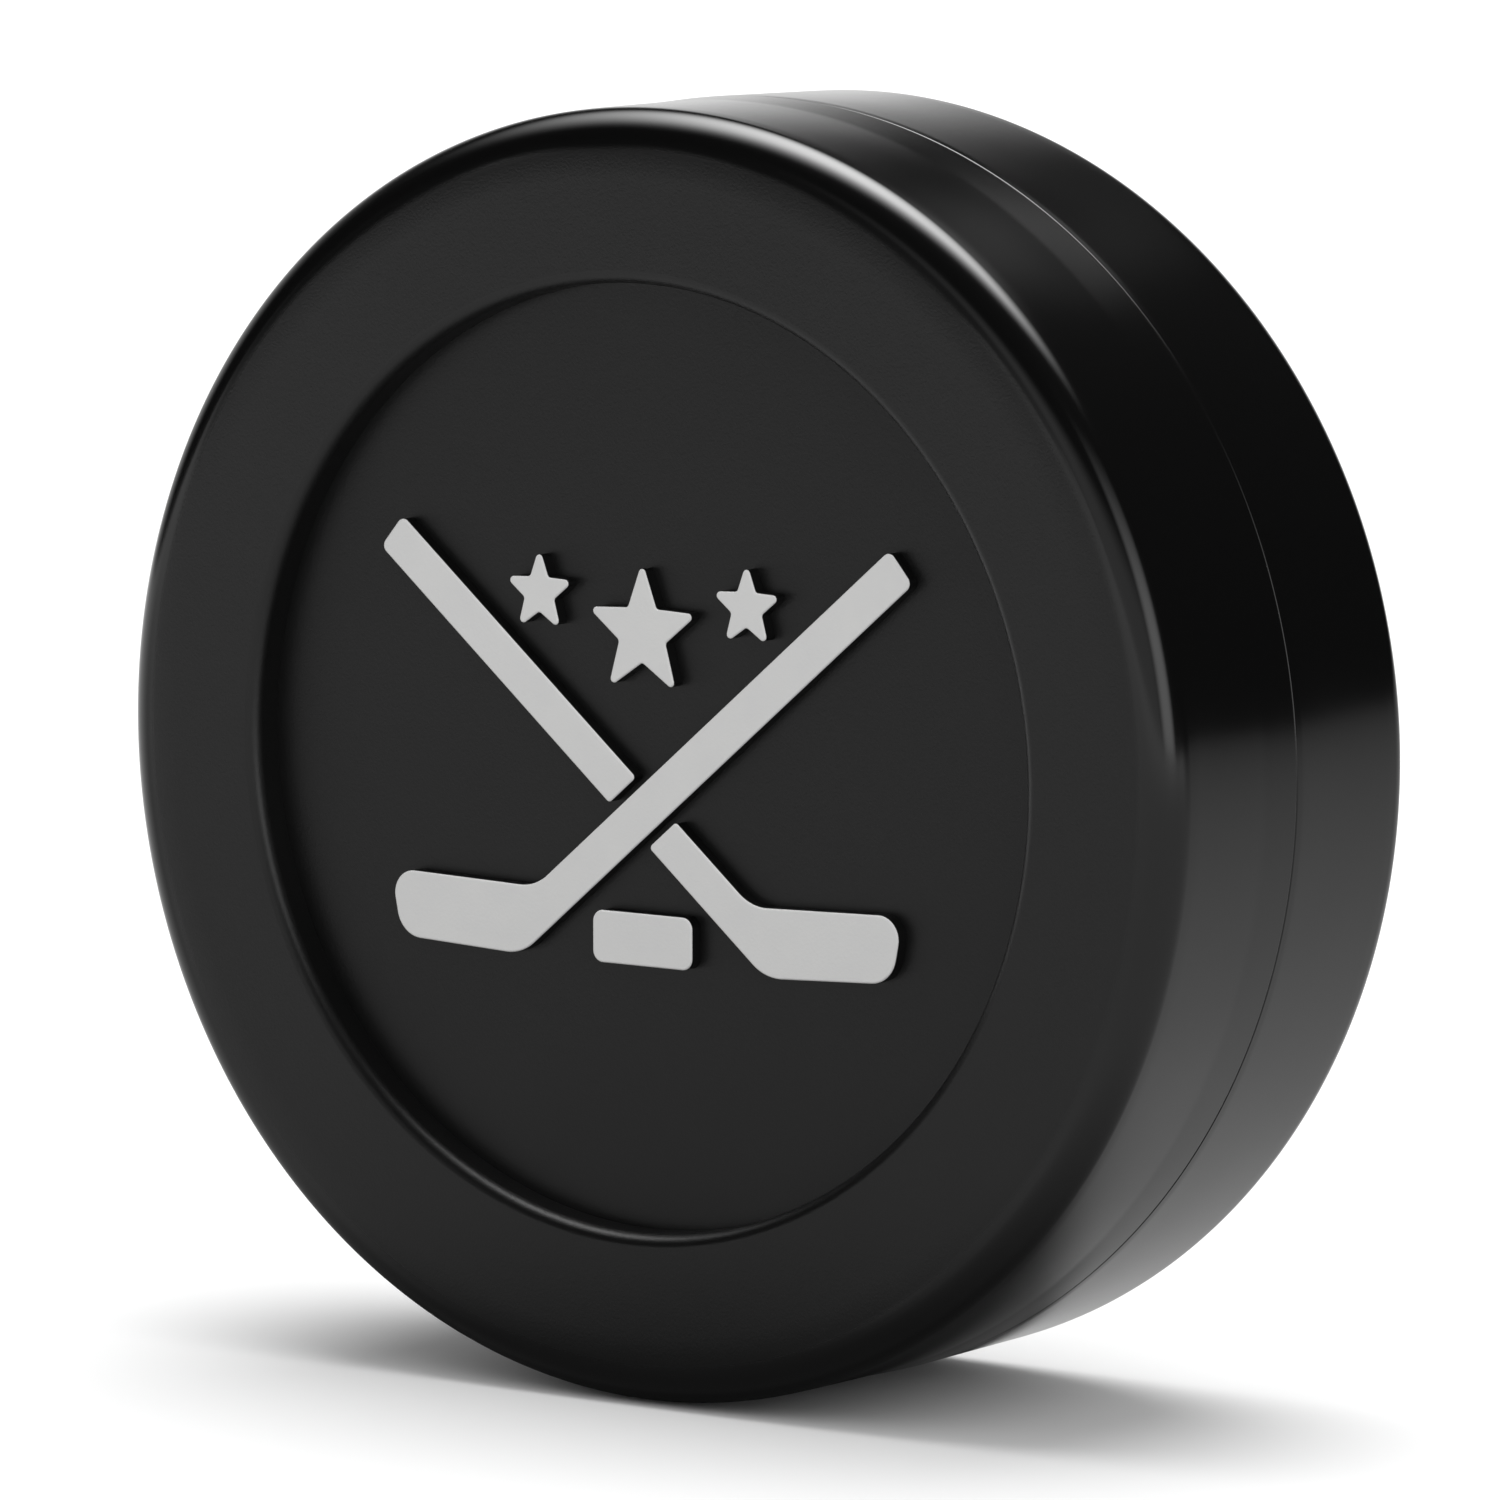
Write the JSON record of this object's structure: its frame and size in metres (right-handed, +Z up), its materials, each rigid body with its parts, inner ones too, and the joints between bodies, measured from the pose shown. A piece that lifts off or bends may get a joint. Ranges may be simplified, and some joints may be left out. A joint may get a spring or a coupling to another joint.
{
  "type": "hockey puck",
  "caption": "Black off-ice hockey puck of two moulded half shells that screw together over a stack of steel discs between rubber pads, with a round recess in each face.",
  "frame": {"origin": "the point of the seam that touches the ground, under the middle of the puck, which stands on its rim", "axes": "-Y out of the front face along the puck's axis, +Z up, +X to the right as the front face is seen"},
  "size_m": [0.0762, 0.0254, 0.0762],
  "materials": {
    "shell_black": "black moulded plastic, glossy on the side wall and satin on the faces",
    "emblem_white": "white print on the tops of the raised emblem, as hot stamping leaves it",
    "pad_rubber": "matt dark grey rubber with ring grooves moulded in",
    "seal_rubber": "smooth black rubber with a thin film of grease",
    "ballast_steel": "zinc-plated steel with fine turning rings"
  },
  "bodies": {
    "root": {"rear_shell": "shell_black", "seam_seal": "seal_rubber", "rear_pad": "pad_rubber", "ballast_disc_1": "ballast_steel", "ballast_disc_2": "ballast_steel", "ballast_disc_3": "ballast_steel"},
    "front_carriage": {"front_pad": "pad_rubber"},
    "front_half": {"front_shell": "shell_black"}
  },
  "joints": [
    {"name": "front_lift", "type": "slide", "parent": "root", "child": "front_carriage", "axis": [0, -1, 0], "range_m": [0, 0.01]},
    {"name": "front_turn", "type": "hinge", "parent": "front_carriage", "child": "front_half", "pos_m": [0, 0, 0.0381], "axis": [0, -1, 0], "range_deg": [0, 450]}
  ],
  "couplings": [
    {"joint": "front_lift", "follows": "front_turn", "m_per_rad": 0.0012732}
  ]
}
